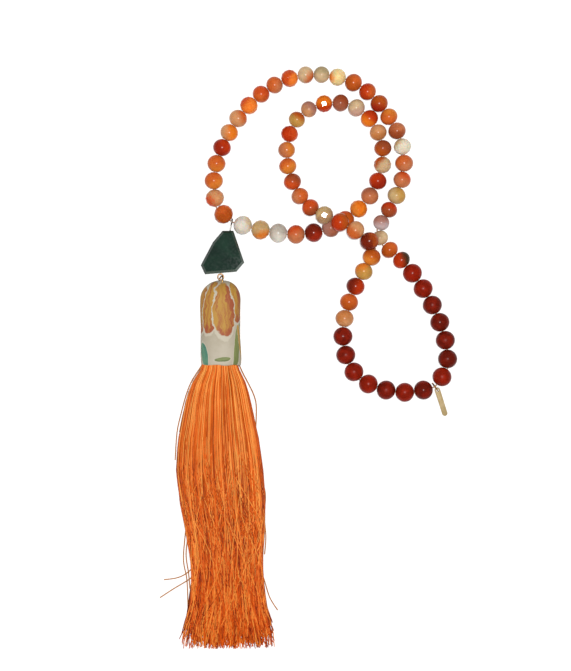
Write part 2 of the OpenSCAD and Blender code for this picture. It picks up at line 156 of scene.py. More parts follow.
LAST_AGATES = [
    ("apricot", "peach", 300, 0.3, "soft"), ("orange", "rust", 250, 0.4, "soft"),
    ("scarlet", "garnet", 160, 0.42, "soft"), ("honey", "amber", 120, 0.3, "soft"),
    ("rust", "amber", 240, 0.35, "soft"), ("garnet", "rust", 20, 0.22, "soft"),
    ("orange", "peach", 50, 0.44, "soft"), ("rust", "scarlet", 200, 0.45, "soft"),
    ("tan", "sand", 120, 0.4, "crisp"), ("coral", "brown", 300, 0.3, "soft"),
    ("orange", "salmon", 200, 0.3, "soft"), ("coral", "brown", 70, 0.4, "soft"),
    ("orange", "amber", 300, 0.4, "soft"), ("amber", "salmon", 200, 0.4, "soft"),
    ("scarlet", "coral", 0, 0.36, "crisp"), ("honey", "rust", 60, 0.3, "soft"),
    ("mauve", "peach", 230, 0.4, "soft"), ("scarlet", "flame", 100, 0.52, "crisp"),
    ("rose", "brown", 60, 0.4, "soft"), ("pink", "cream", 100, 0.5, "soft"),
    ("flame", "scarlet", 50, 0.46, "soft"), ("apricot", "peach", 90, 0.4, "soft"),
    ("rust", "brown", 60, 0.5, "soft"), ("cream", "rust", 140, 0.24, "crisp"),
    ("scarlet", "red", 300, 0.4, "soft"), ("salmon", "rose", 100, 0.25, "soft"),
    ("flame", "amber", 200, 0.3, "crisp"), ("coral", "rust", 330, 0.5, "soft"),
    ("rose", "mauve", 160, 0.4, "soft"), ("garnet", "red", 300, 0.3, "soft"),
    ("salmon", "coral", 110, 0.3, "soft"), ("grey", "milk", 270, 0.3, "soft"),
    ("sand", "amber", 280, 0.28, "crisp"), ("milk", "cream", 20, 0.14, "crisp"),
]


def paint(hex_colour, strength=0.75):
    """Linear colour of a hex code, darkened to suit the bright lamp."""
    parts = [int(hex_colour[k:k + 2], 16) / 255 for k in (0, 2, 4)]
    linear = [p / 12.92 if p <= 0.04045 else ((p + 0.055) / 1.055) ** 2.4 for p in parts]
    return (*[strength * p for p in linear], 1)


def loose_parts(node):
    """The corners of each loose part of a node, in the order in which the parts are strung."""
    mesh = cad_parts[node].data
    spots = [tuple(round(c, 6) for c in vertex.co) for vertex in mesh.vertices]
    home = {spot: spot for spot in spots}

    def root(spot):
        while home[spot] != spot:
            home[spot] = home[home[spot]]
            spot = home[spot]
        return spot

    for face in mesh.polygons:
        for k in face.vertices[1:]:
            home[root(spots[k])] = root(spots[face.vertices[0]])
    parts = {}
    for face in mesh.polygons:
        parts.setdefault(root(spots[face.vertices[0]]), set()).update(spots[k] for k in face.vertices)
    return [[Vector(spot) for spot in sorted(part)] for part in parts.values()]


def bead_place(corners):
    """Middle and radius of a drilled bead."""
    middle = sum(corners, Vector()) / len(corners)
    return middle, max((corner - middle).length for corner in corners)


def select(part, wanted):
    """Selects the faces or corners of the object being edited that the test names."""
    bpy.ops.mesh.select_all(action="DESELECT")
    bpy.ops.object.mode_set(mode="OBJECT")
    data = bpy.context.object.data
    for item in data.polygons if part == "faces" else data.vertices:
        item.select = wanted(item.center if part == "faces" else item.co)
    bpy.ops.object.mode_set(mode="EDIT")


# Beads are cut from balls of radius 1. A corner higher than this is a pole of the ball.
pole = 0.999


def drill(table_height, hole):
    """Opens both poles of a ball of radius 1 to a flat, and drills it through along Z."""
    bpy.ops.mesh.select_mode(type="VERT")
    select("corners", lambda p: abs(p.z) > pole)
    bpy.ops.mesh.delete(type="VERT")
    rim = math.sqrt(1 - table_height ** 2)
    for side in (1, -1):
        select("corners", lambda p: p.z * side > table_height - 0.01)
        bpy.ops.mesh.extrude_region()
        bpy.ops.transform.resize(
            value=(hole / rim, hole / rim, 1), center_override=(0, 0, side * table_height))
    select("corners", lambda p: math.hypot(p.x, p.y) < hole * 1.01)
    bpy.ops.mesh.select_mode(type="EDGE")
    bpy.ops.mesh.bridge_edge_loops()
    bpy.ops.mesh.select_mode(type="VERT")
    bpy.ops.mesh.select_all(action="SELECT")
    bpy.ops.mesh.normals_make_consistent(inside=False)


def pick(piece):
    """Selects one object alone and makes it the active one."""
    bpy.ops.object.select_all(action="DESELECT")
    piece.select_set(True)
    bpy.context.view_layer.objects.active = piece


# The crisp bead has rings of twelve facets, two of them turned by half a facet.
# Rings are given in degrees from the upper pole, and the band above the girdle has triangles.
BEAD_RINGS = [18, 46, 75, 105, 134, 162]
TURNED_RINGS = (1, 4)
bead_sides = 12
bead_rows = len(BEAD_RINGS) + 1
agate_hole = 0.155
girdle_top = 0.3
crown_top = 0.94
bpy.ops.object.select_all(action="DESELECT")
bpy.ops.mesh.primitive_uv_sphere_add(segments=bead_sides, ring_count=bead_rows, radius=1)
crisp_bead = bpy.context.object
for corner in crisp_bead.data.vertices:
    if abs(corner.co.z) < pole:
        ring = round(math.degrees(math.acos(corner.co.z)) * bead_rows / 180) - 1
        turn = math.radians(180 / bead_sides) if ring in TURNED_RINGS else 0
        around = math.atan2(corner.co.y, corner.co.x) + turn
        polar = math.radians(BEAD_RINGS[ring])
        corner.co = (math.sin(polar) * math.cos(around), math.sin(polar) * math.sin(around), math.cos(polar))
bpy.ops.object.mode_set(mode="EDIT")
drill(math.cos(math.radians(BEAD_RINGS[0])), agate_hole)
select("faces", lambda p: girdle_top < abs(p.z) < crown_top and math.hypot(p.x, p.y) > 0.2)
bpy.ops.mesh.quads_convert_to_tris(quad_method="SHORTEST_DIAGONAL")
bpy.ops.object.mode_set(mode="OBJECT")

# The soft bead has the same facets, worn most of the way to a ball.
wear = 0.8
bpy.ops.object.duplicate()
soft_bead = bpy.context.object
bpy.ops.object.mode_set(mode="EDIT")
select("faces", lambda p: p.length > 0.5)
bpy.ops.mesh.subdivide(number_cuts=1)
bpy.ops.object.mode_set(mode="OBJECT")
for corner in soft_bead.data.vertices:
    if abs(corner.co.z) < crown_top and math.hypot(corner.co.x, corner.co.y) > 0.3:
        corner.co = corner.co.lerp(corner.co.normalized(), wear)
bpy.ops.object.shade_smooth_by_angle(angle=math.radians(25))

pick(crisp_bead)
edges = crisp_bead.modifiers.new("polished_edges", "BEVEL")
edges.width = 0.03
edges.segments = 2
edges.limit_method = "ANGLE"
edges.angle_limit = math.radians(8)
edges.harden_normals = True
bpy.ops.object.shade_smooth()
bpy.ops.object.modifier_apply(modifier=edges.name)

agate_places = [bead_place(part) for part in loose_parts("agate_beads")]
carnelian_places = [bead_place(part) for part in loose_parts("carnelian_beads")]
string_places = agate_places[:len(FIRST_AGATES)] + carnelian_places + agate_places[len(FIRST_AGATES):]


def string_way(k):
    """The way of the hole through a bead, from where it meets the beads before and after it."""
    meets = []
    for a, b in ((k - 1, k), (k, (k + 1) % len(string_places))):
        (p, r), (q, s) = string_places[a], string_places[b]
        meets.append(p.lerp(q, r / (r + s)))
    return (meets[1] - meets[0]).normalized()


def glaring_way(k):
    """The way a polished facet of a bead faces when it mirrors the lamp into the camera."""
    middle = string_places[k][0]
    return ((camera.location - middle).normalized() + (lamp_at - middle).normalized()).normalized()


def hang_bead(template, k, roll, wide, facing=None):
    """A copy of a bead of radius 1 on its way along the string, wider than long, and the place it goes to.
    It carries the coordinates that its pattern follows. A bead that faces a way has that facet turned up,
    and is tilted a little on its string."""
    middle, radius = string_places[k]
    bead = template.copy()
    bead.data = template.data.copy()
    bpy.context.collection.objects.link(bead)
    way = string_way(k)
    if facing:
        way = (way - facing * way.dot(facing)).normalized()
    along = way.to_track_quat("Z", "Y").to_matrix()
    up = along.transposed() @ (facing or Vector((0, 0, 1)))
    hung = along @ Matrix.Rotation(math.atan2(up.y, up.x), 3, "Z")
    shape = Matrix.Diagonal((radius, radius * wide, radius))
    bead.data.transform((hung @ shape @ Matrix.Rotation(roll, 3, "Z")).to_4x4())
    grain = bead.data.attributes.new("grain", "FLOAT_VECTOR", "POINT")
    away = Vector((3.7 * k, 1.9 * (k % 7), 2.3 * (k % 5)))
    grain.data.foreach_set("vector", [c for v in bead.data.vertices for c in v.co / radius + away])
    return bead, middle


def join(parts, name):
    """Joins objects into one piece."""
    pick(parts[0])
    for part in parts:
        part.select_set(True)
    bpy.ops.object.join()
    piece = bpy.context.object
    piece.name = name
    piece.data.name = name
    return piece


def group_of(name, inputs, outputs):
    """A new shader node group, and the nodes for its inputs, which have first values, and its outputs."""
    tree = bpy.data.node_groups.new(name, "ShaderNodeTree")
    for socket, value in inputs.items():
        kind = "NodeSocketFloat" if isinstance(value, float) else "NodeSocketVector"
        tree.interface.new_socket(name=socket, in_out="INPUT", socket_type=kind).default_value = value
    for socket in outputs:
        tree.interface.new_socket(name=socket, in_out="OUTPUT", socket_type="NodeSocketFloat")
    return tree, tree.nodes.new("NodeGroupInput"), tree.nodes.new("NodeGroupOutput")


def put(tree, kind, settings=(), **values):
    """Adds a node, sets its options, and sets or links its inputs."""
    node = tree.nodes.new(kind)
    for option, value in dict(settings).items():
        setattr(node, option, value)
    feed(tree, node, **values)
    return node


def carried(tree, name, output):
    """A value that the corners of a piece carry."""
    return put(tree, "ShaderNodeAttribute", {"attribute_name": name}).outputs[output]


def reckon(tree, operation, *values):
    """A math node."""
    numbered = {f"i{k}": value for k, value in enumerate(values)}
    return put(tree, "ShaderNodeMath", {"operation": operation}, **numbered).outputs[0]


def blend(tree, share, first, second, way="MIX"):
    """A colour mix node."""
    options = {"data_type": "RGBA", "blend_type": way}
    return put(tree, "ShaderNodeMix", options, Factor=share, i6=first, i7=second).outputs[2]


def ramp(tree, value, low, high, to_low=0.0, to_high=1.0):
    """A smooth step from one value to another."""
    return put(tree, "ShaderNodeMapRange", {"interpolation_type": "SMOOTHSTEP"}, Value=value,
               From_Min=low, From_Max=high, To_Min=to_low, To_Max=to_high).outputs[0]


# Clouds and healed cracks in cut stone, for the agates, the carnelians and the green stone.
clouds, cloud_in, cloud_out = group_of(
    "stone_clouds", {"Vector": (0, 0, 0), "Scale": 1.0, "Bands": 3.0}, ("Clouds", "Veins", "Specks"))
cloud_place = cloud_in.outputs["Vector"]
cloud_scale = cloud_in.outputs["Scale"]
cloud_mist = put(clouds, "ShaderNodeTexNoise", Vector=cloud_place, Scale=cloud_scale,
                 Detail=4.0, Roughness=0.55, Distortion=0.6)
cloud_bands = put(clouds, "ShaderNodeTexWave", {"wave_type": "BANDS", "bands_direction": "DIAGONAL"},
                  Vector=cloud_place, Scale=cloud_in.outputs["Bands"], Distortion=5.0, Detail=2.0)
cloud_specks = put(clouds, "ShaderNodeTexNoise", Vector=cloud_place,
                   Scale=reckon(clouds, "MULTIPLY", cloud_scale, 9.0), Detail=2.0)
feed(clouds, cloud_out, Clouds=cloud_mist.outputs[0], Veins=ramp(clouds, cloud_bands.outputs[1], 0.82, 1.0),
     Specks=cloud_specks.outputs[0])

# Agate, carnelian and jasper all bend light as quartz does.
quartz_ior = 1.54


def agate(name, glow, polish, mist):
    """Agate whose two colours come from each bead's own values, and meet in a ragged cloudy edge."""
    material, tree, shader = new_material(name)
    ground = carried(tree, "ground", "Color")
    second = carried(tree, "second", "Color")
    grain = carried(tree, "grain", "Vector")
    stone = put(tree, "ShaderNodeGroup", {"node_tree": clouds}, Vector=grain, Scale=1.3, Bands=1.6)
    ragged = reckon(tree, "MULTIPLY_ADD", stone.outputs["Clouds"], 0.9, -0.45)
    edge = ramp(tree, reckon(tree, "ADD", carried(tree, "lean", "Fac"), ragged), -mist, mist)
    colour = blend(tree, edge, ground, second)
    colour = blend(tree, reckon(tree, "MULTIPLY", stone.outputs["Veins"], 0.2), colour, second)
    shade = ramp(tree, stone.outputs["Clouds"], 0.25, 0.75, 0.88, 1.1)
    grey = put(tree, "ShaderNodeCombineColor", Red=shade, Green=shade, Blue=shade).outputs[0]
    feed(tree, shader, Base_Color=blend(tree, 1.0, colour, grey, "MULTIPLY"),
         Roughness=ramp(tree, stone.outputs["Specks"], 0.3, 0.7, polish, polish + 0.1),
         IOR=quartz_ior, Specular_IOR_Level=0.1, Subsurface_Weight=glow,
         Subsurface_Radius=(1.0, 0.4, 0.2), Subsurface_Scale=1.5 * MM)
    return material


cloudy_agate = agate("cloudy_agate", glow=0.2, polish=0.15, mist=0.5)
clear_agate = agate("clear_agate", glow=0.55, polish=0.06, mist=0.35)

dice = random.Random(7)
outer_beads, inner_beads, clear_beads = [], [], []
agate_rows = FIRST_AGATES + [None] * len(carnelian_places) + LAST_AGATES
# Two beads lie with a facet turned to the lamp, which glares in it. The others are turned off it.
GLARING = [50, 59]
# Beads that are flatter along their hole than the others, and how much wider they are than long.
FLATTER = {25: 1.12, 26: 1.15, 27: 1.15}
for k, row in enumerate(agate_rows):
    if row is None:
        continue
    colour, second_colour, side, share, cut = row
    roll = math.radians(15 if k in GLARING else dice.choice((-4, -2, 2, 4)) + 30 * dice.randrange(12))
    template = crisp_bead if cut == "crisp" else soft_bead
    facing = glaring_way(k) if k in GLARING else None
    wide = FLATTER.get(k, dice.uniform(1.05, 1.08))
    bead, bead_middle = hang_bead(template, k, roll, wide, facing)
    toward = Vector((math.cos(math.radians(side)), math.sin(math.radians(side)), 0.25)).normalized()
    mesh = bead.data
    for name, shown in (("ground", colour), ("second", second_colour)):
        layer = mesh.attributes.new(name, "FLOAT_COLOR", "POINT")
        layer.data.foreach_set("color", list(paint(STONE_COLOURS[shown])) * len(mesh.vertices))
    leaning = [corner.co.normalized().dot(toward) - (1 - 2 * share) for corner in mesh.vertices]
    mesh.attributes.new("lean", "FLOAT", "POINT").data.foreach_set("value", leaning)
    mesh.transform(Matrix.Translation(bead_middle))
    if cut == "crisp":
        clear_beads.append(bead)
    elif k < len(FIRST_AGATES):
        outer_beads.append(bead)
    else:
        inner_beads.append(bead)

for parts, name, material in (
        (outer_beads, "outer_agates", cloudy_agate),
        (inner_beads, "inner_agates", cloudy_agate),
        (clear_beads, "clear_agates", clear_agate)):
    agates = join(parts, name)
    dress(agates, material)
    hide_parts("agate_beads")
    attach(agates, "root")

# Carnelian beads.
# Fourteen smooth round beads of dark red carnelian, polished, some browner and some brighter,
# drilled and strung at the end of the loop away from the pendant.
# How bright each bead is, from the first to the last.
CARNELIAN_TONES = [0.95, 0.7, 0.3, 0.15, 0.2, 0, 0.75, 0.15, 0.75, 0.3, 0.8, 0.6, 0.4, 0.4]
carnelian_hole = 0.139
carnelian_flat = 10
carnelian_wide = 1.03
full_turn = 6.28
bpy.ops.object.select_all(action="DESELECT")
bpy.ops.mesh.primitive_uv_sphere_add(segments=28, ring_count=18, radius=1)
smooth_bead = bpy.context.object
bpy.ops.object.mode_set(mode="EDIT")
drill(math.cos(math.radians(carnelian_flat)), carnelian_hole)
bpy.ops.object.mode_set(mode="OBJECT")
bpy.ops.object.shade_smooth_by_angle(angle=math.radians(40))


def red_carnelian():
    """Carnelian from brown to bright red by each bead's own tone, with cloudy dull patches."""
    material, tree, shader = new_material("carnelian")
    grain = carried(tree, "grain", "Vector")
    stone = put(tree, "ShaderNodeGroup", {"node_tree": clouds}, Vector=grain, Scale=1.5)
    mottle = ramp(tree, stone.outputs["Clouds"], 0.35, 0.65, -0.3, 0.3)
    tone = reckon(tree, "ADD", carried(tree, "tone", "Fac"), mottle)
    feed(tree, shader, Base_Color=blend(tree, tone, paint("6A1A0E"), paint("9E220C")),
         Roughness=ramp(tree, stone.outputs["Clouds"], 0.35, 0.65, 0.18, 0.42),
         IOR=quartz_ior, Specular_IOR_Level=0.06, Subsurface_Weight=0.15,
         Subsurface_Radius=(1.0, 0.2, 0.1), Subsurface_Scale=1.2 * MM)
    return material


parts = []
for i, bead_tone in enumerate(CARNELIAN_TONES):
    roll = dice.uniform(0, full_turn)
    bead, bead_middle = hang_bead(smooth_bead, len(FIRST_AGATES) + i, roll, carnelian_wide)
    tone_layer = bead.data.attributes.new("tone", "FLOAT", "POINT")
    tone_layer.data.foreach_set("value", [bead_tone] * len(bead.data.vertices))
    bead.data.transform(Matrix.Translation(bead_middle))
    parts.append(bead)
carnelians = join(parts, "carnelians")
dress(carnelians, red_carnelian())
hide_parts("carnelian_beads")
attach(carnelians, "root")
for template in (crisp_bead, soft_bead, smooth_bead):
    bpy.data.objects.remove(template)

# Thread.
# A twisted beading thread through every hole, closed in one loop; it shows only in the gaps
# between the beads.


def own_place(tree):
    """Where a point of a piece lies, in metres."""
    return put(tree, "ShaderNodeTexCoord").outputs["Object"]


def twisted_thread():
    """Pale brown thread with slanting plies."""
    material, tree, shader = new_material("twisted_thread")
    plies = put(tree, "ShaderNodeTexWave", {"bands_direction": "DIAGONAL"},
                Vector=own_place(tree), Scale=900.0, Distortion=1.5).outputs[1]
    ply_bump = put(tree, "ShaderNodeBump", Strength=0.5, Distance=0.05 * MM, Height=plies)
    feed(tree, shader, Base_Color=blend(tree, plies, paint("8A5F42"), paint("D0A27C")),
         Normal=ply_bump.outputs[0], Roughness=0.7)
    return material


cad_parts["thread"].material_slots[0].material = twisted_thread()

# Green stone.
# A flat piece of dark green stone, sawn to seven sides, with a ground bevel round each face,
# polished all over and drilled from top to bottom.
bevel_softness = 0.14 * MM


def copy_of(node, name):
    """A copy of a node as one closed mesh, ready for finer edges."""
    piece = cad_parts[node].copy()
    piece.data = piece.data.copy()
    piece.name = name
    piece.data.name = name
    bpy.context.collection.objects.link(piece)
    pick(piece)
    bpy.ops.object.mode_set(mode="EDIT")
    bpy.ops.mesh.select_all(action="SELECT")
    bpy.ops.mesh.remove_doubles(threshold=0.002 * MM)
    bpy.ops.object.mode_set(mode="OBJECT")
    return piece


def soften(piece, width, angle):
    """Rounds the edges of a piece that are sharper than an angle."""
    edge = piece.modifiers.new("soft_edges", "BEVEL")
    edge.width = width
    edge.segments = 2
    edge.limit_method = "ANGLE"
    edge.angle_limit = math.radians(angle)
    bpy.ops.object.modifier_apply(modifier=edge.name)


def green_jasper():
    """Dark green stone with faint patches, veins and specks; its bevels facing the lower right are painted
    paler as a painted reflection.
    """
    material, tree, shader = new_material("green_jasper")
    stone = put(tree, "ShaderNodeGroup", {"node_tree": clouds}, Vector=own_place(tree),
                Scale=110.0, Bands=60.0)
    clouded, veined, specked = [stone.outputs[name] for name in ("Clouds", "Veins", "Specks")]
    colour = blend(tree, ramp(tree, clouded, 0.36, 0.66), paint("182C24"), paint("203A2E"))
    colour = blend(tree, reckon(tree, "MULTIPLY", veined, 0.12), colour, paint("2E4A3A"))
    colour = blend(tree, ramp(tree, specked, 0.66, 0.75, 0.0, 0.3), colour, paint("30261E"))
    outward = put(tree, "ShaderNodeTexCoord").outputs["Normal"]
    right, up, top = put(tree, "ShaderNodeSeparateXYZ", Vector=outward).outputs
    lower_right = reckon(tree, "SUBTRACT", reckon(tree, "MULTIPLY", right, 0.9), up)
    bevelled = ramp(tree, top, 0.95, 0.7)
    # Bevels facing the lower right are painted pale grey-green as a painted reflection, faint on the other
    # bevels.
    painted_bevel_reflection = reckon(tree, "MULTIPLY", bevelled, ramp(tree, lower_right, 0.2, 0.8, 0.04, 0.4))
    feed(tree, shader, Base_Color=blend(tree, painted_bevel_reflection, colour, paint("8C9A90")),
         Roughness=ramp(tree, specked, 0.35, 0.65, 0.02, 0.035), IOR=quartz_ior, Specular_IOR_Level=0.25)
    return material


green_stone = copy_of("green_stone", "cut_green_stone")
bpy.ops.object.mode_set(mode="EDIT")
bpy.ops.mesh.dissolve_limited(angle_limit=math.radians(1))
bpy.ops.object.mode_set(mode="OBJECT")
soften(green_stone, bevel_softness, 20)
bpy.ops.object.shade_flat()
dress(green_stone, green_jasper())
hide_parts("green_stone")
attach(green_stone, "root")

# Stone pin and jump rings.
# A darkened wire runs through the stone with an eye at each end, the lower one stained by the gilt
# ring that joins it to the cap. A smaller ring carries the charm.


def metal(name, light, dark, roughness, scale, metallic=1.0):
    """Drawn wire or rolled metal: fine lines, and darker where it has been handled."""
    material, tree, shader = new_material(name)
    place = own_place(tree)
    worn = put(tree, "ShaderNodeTexNoise", Vector=place, Scale=scale, Detail=3.0).outputs[0]
    lines = put(tree, "ShaderNodeTexNoise", Vector=place, Scale=9 * scale, Detail=2.0).outputs[0]
    bump = put(tree, "ShaderNodeBump", Strength=0.15, Distance=0.02 * MM, Height=lines)
    feed(tree, shader, Base_Color=blend(tree, ramp(tree, worn, 0.35, 0.65), paint(dark), paint(light)),
         Roughness=ramp(tree, lines, 0.3, 0.7, roughness - 0.08, roughness + 0.1),
         Normal=bump.outputs[0], Metallic=metallic)
    return material


def stain_foot(material, foot, reach):
    """Stains a wire towards its foot, over a reach above it."""
    tree = material.node_tree
    shader = tree.nodes["Principled BSDF"]
    height = put(tree, "ShaderNodeSeparateXYZ", Vector=own_place(tree)).outputs["Y"]
    stained = ramp(tree, height, foot + reach, foot, 0.0, 0.8)
    clean = shader.inputs["Base Color"].links[0].from_socket
    feed(tree, shader, Base_Color=blend(tree, stained, clean, paint("9A6A35")))


pin_wire = metal("dark_wire", "B0ACA4", "6A665E", 0.35, 700.0)
stain_foot(pin_wire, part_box("green_stone")[0].y, 1 * MM)
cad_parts["stone_pin"].material_slots[0].material = pin_wire
gilt = metal("gilt_wire", "D9A95C", "94652F", 0.3, 700.0)
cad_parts["link_ring"].material_slots[0].material = gilt
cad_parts["charm_ring"].material_slots[0].material = gilt

# Tassel cap.
# A sleeve of thin printed leather drawn over the tassel's head: a rounded end that droops to the table, a
# flattened tube and an open mouth. The jump ring goes in at its rounded end.
cap_low, cap_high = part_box("tassel_cap")
cap_middle = (cap_low.x + cap_high.x) / 2
cap_mouth = cap_low.y
cap_half_width = 9.5 * MM
cap_half_height = 7 * MM
cap_dome = 9.3 * MM
cap_straight = cap_high.y - cap_low.y + 0.6 * MM - cap_dome
cap_droop = 2.8 * MM
cap_lean = 0.5 * MM
cap_wall = 1.2 * MM
cap_sides = 56
dome_fullness = 0.88
# Form of the tube. Columns: distance from the mouth in mm, share of the width and of the height,
# shift to the right in mm.
CAP_FORM = [
    (0, 0.965, 0.97, 0.15), (1.2, 0.99, 0.985, 0.2), (3, 1.005, 0.99, 0.25), (6, 1.005, 1, 0.25),
    (9, 0.995, 1, 0.15), (12, 0.985, 1, 0.05), (15, 0.98, 1, 0), (18, 0.98, 1, 0), (21, 0.985, 1, 0),
    (24, 0.99, 1, 0), (27, 0.998, 1, 0),
]
# Rings of the sleeve from the mouth to the end of the dome. Columns: distance from the mouth,
# share of the width and of the height, shift to the right, rise.
cap_rings = [(d * MM, w, h, s * MM, 0) for d, w, h, s in CAP_FORM]
for angle in range(0, 90, 10):
    rise, full = math.sin(math.radians(angle)), math.cos(math.radians(angle)) ** dome_fullness
    from_mouth = cap_straight + cap_dome * rise
    cap_rings.append((from_mouth, full, full, cap_lean * rise ** 3, -cap_droop * rise ** 2))
mouth_ring = cap_rings[0]
bpy.ops.object.select_all(action="DESELECT")
bpy.ops.mesh.primitive_circle_add(vertices=cap_sides, radius=1, location=(0, 0, 0))
cap = bpy.context.object
cap.name = "leather_cap"
cap.data.transform(Matrix.Rotation(math.radians(90), 4, "X"))
cap.data.transform(Matrix.Diagonal((cap_half_width * mouth_ring[1], 1, cap_half_height * mouth_ring[2], 1)))
cap.data.transform(Matrix.Translation((cap_middle + mouth_ring[3], cap_mouth, cap_half_height)))
bpy.ops.object.mode_set(mode="EDIT")
bpy.ops.mesh.select_all(action="SELECT")
for before, ring in zip(cap_rings, cap_rings[1:]):
    bpy.ops.mesh.extrude_region()
    bpy.ops.transform.translate(value=(ring[3] - before[3], ring[0] - before[0], ring[4] - before[4]))
    bpy.ops.transform.resize(
        value=(ring[1] / before[1], 1, ring[2] / before[2]),
        center_override=(cap_middle + ring[3], cap_mouth + ring[0], cap_half_height + ring[4]))
# The last ring closes in a point a little beyond it.
bpy.ops.mesh.extrude_region()
bpy.ops.transform.translate(value=(0, cap_dome * 0.015, -cap_droop * 0.03))
bpy.ops.mesh.merge(type="CENTER")
bpy.ops.mesh.select_all(action="SELECT")
bpy.ops.mesh.normals_make_consistent(inside=False)
bpy.ops.object.mode_set(mode="OBJECT")

# The print runs round the sleeve from a seam below, in centimetres from the middle of its upper side.
# A corner by the seam takes the side that its face lies on.
mean_radius_cm = 0.83
near_seam = 2.5
cap_print = cap.data.uv_layers.new(name="print")
for face in cap.data.polygons:
    face_side = face.center.x - cap_middle
    for loop in face.loop_indices:
        corner = cap.data.vertices[cap.data.loops[loop].vertex_index].co
        along = corner.y - cap_mouth
        rise = min(1, max(0, (along - cap_straight) / cap_dome))
        full = math.sqrt(max(0, 1 - rise ** 2))
        middle_z = cap_half_height - cap_droop * rise ** 2
        turn = math.atan2((corner.x - cap_middle) / cap_half_width, (corner.z - middle_z) / cap_half_height)
        if abs(turn) > near_seam and turn * face_side < 0:
            turn -= math.copysign(2 * math.pi, turn)
        cap_print.data[loop].uv = (mean_radius_cm * turn * full, along / (10 * MM))

# The leather is a little uneven, and its mouth turns in unevenly over the strands.
# Where it rests on the table it is lifted instead, and hardly dented.
rest_lift = 0.15 * MM
least_dent = 0.1 * MM
mouth_waver = 0.7 * MM
for corner in cap.data.vertices:
    away = Vector((corner.co.x - cap_middle, 0, corner.co.z - cap_half_height)).normalized()
    wide_dent = noise.noise(corner.co / (9 * MM)) * 0.3
    small_dent = noise.noise(corner.co / (3.5 * MM)) * 0.1
    lift = rest_lift if corner.co.z < 1 * MM else 0
    shown = 1 if corner.co.z > 2 * MM else 0.2
    corner.co += away * min(0, (wide_dent + small_dent) * MM - least_dent) * shown
    corner.co.z += lift
    if corner.co.y < cap_mouth + 0.5 * MM:
        corner.co.y += mouth_waver * noise.noise(corner.co / (5 * MM))

wall = cap.modifiers.new("leather", "SOLIDIFY")
wall.thickness = cap_wall
wall.offset = -1
smooth = cap.modifiers.new("smooth", "SUBSURF")
smooth.levels = 1
pick(cap)
bpy.ops.object.modifier_apply(modifier=wall.name)
bpy.ops.object.modifier_apply(modifier=smooth.name)
bpy.ops.object.shade_smooth()

# One painted petal or leaf: a pointed oval with a ragged brushed edge.
petal, petal_in, petal_out = group_of(
    "painted_petal",
    {"Vector": (0, 0, 0), "Middle": (0, 0, 0), "Turn": 0.0, "Length": 1.0, "Width": 0.5, "Taper": 0.0,
     "Ragged": 0.1},
    ("Mask", "Rim", "Along", "Across"))
petal_place = petal_in.outputs["Vector"]


def petal_vector(operation, *values, **named):
    """A vector math node within the petal."""
    numbered = {f"i{k}": value for k, value in enumerate(values)}
    return put(petal, "ShaderNodeVectorMath", {"operation": operation}, **numbered, **named).outputs[0]


brush = put(petal, "ShaderNodeTexNoise", Vector=petal_place, Scale=2.6, Detail=3.0)
brush_way = petal_vector("SUBTRACT", brush.outputs["Color"], (0.5, 0.5, 0.5))
brush_push = petal_vector("SCALE", brush_way, Scale=petal_in.outputs["Ragged"])
brushed = petal_vector("ADD", petal_place, brush_push)
centred = petal_vector("SUBTRACT", brushed, petal_in.outputs["Middle"])
turned = put(petal, "ShaderNodeVectorRotate", {"rotation_type": "Z_AXIS"}, Vector=centred,
             Angle=petal_in.outputs["Turn"])
petal_ways = put(petal, "ShaderNodeSeparateXYZ", Vector=turned.outputs[0])
petal_along = reckon(petal, "DIVIDE", petal_ways.outputs["Y"], petal_in.outputs["Length"])
narrowing = reckon(petal, "MULTIPLY_ADD", petal_along, petal_in.outputs["Taper"], 1.0)
petal_wide = reckon(petal, "MULTIPLY", petal_in.outputs["Width"], reckon(petal, "MAXIMUM", narrowing, 0.05))
petal_across = reckon(petal, "DIVIDE", petal_ways.outputs["X"], petal_wide)
petal_far = reckon(petal, "SQRT", reckon(petal, "ADD", reckon(petal, "MULTIPLY", petal_along, petal_along),
                                         reckon(petal, "MULTIPLY", petal_across, petal_across)))
feed(petal, petal_out, Mask=ramp(petal, petal_far, 1.0, 0.94), Rim=ramp(petal, petal_far, 1.12, 1.08),
     Along=petal_along, Across=petal_across)

# The petals and leaves of the print. Columns: middle across and along in cm, turn in degrees,
# half length and half width in cm, taper, raggedness, light colour, dark colour.
PRINT = [
    (0.86, 1.35, 7, 1.6, 0.17, -0.35, 0.1, "8C955B", "76804B"),
    (1.02, 1.1, -10, 0.9, 0.12, 0.2, 0.2, "C79A45", "B58A40"),
    (-0.98, 2.6, 10, 1.15, 0.44, -0.2, 0.3, "C0913F", "AA6236"),
    (0.72, 3.0, -10, 1.0, 0.44, -0.2, 0.35, "C4963F", "A85A36"),
    (-0.4, 2.75, 8, 1.25, 0.4, -0.25, 0.35, "C29240", "A85838"),
    (0.14, 2.6, -3, 1.3, 0.46, -0.2, 0.4, "C29240", "A85838"),
    (-0.8, 0.5, -16, 0.62, 0.24, 0.25, 0.1, "6D9A7C", "4C8270"),
    (0.1, 0.3, 84, 0.36, 0.1, 0.1, 0.08, "87905A", "6E7A4E"),
    (-2.1, 1.3, 8, 0.8, 0.35, -0.3, 0.2, "C0913F", "AA6236"),
    (2.1, 2.3, -12, 1.2, 0.5, -0.3, 0.25, "C4963F", "A85A36"),
    (2.3, 0.6, 20, 0.6, 0.25, 0.2, 0.15, "6D9A7C", "4C8270"),
    (-2.1, 3.0, 10, 1.0, 0.4, -0.3, 0.25, "C29240", "A85838"),
]


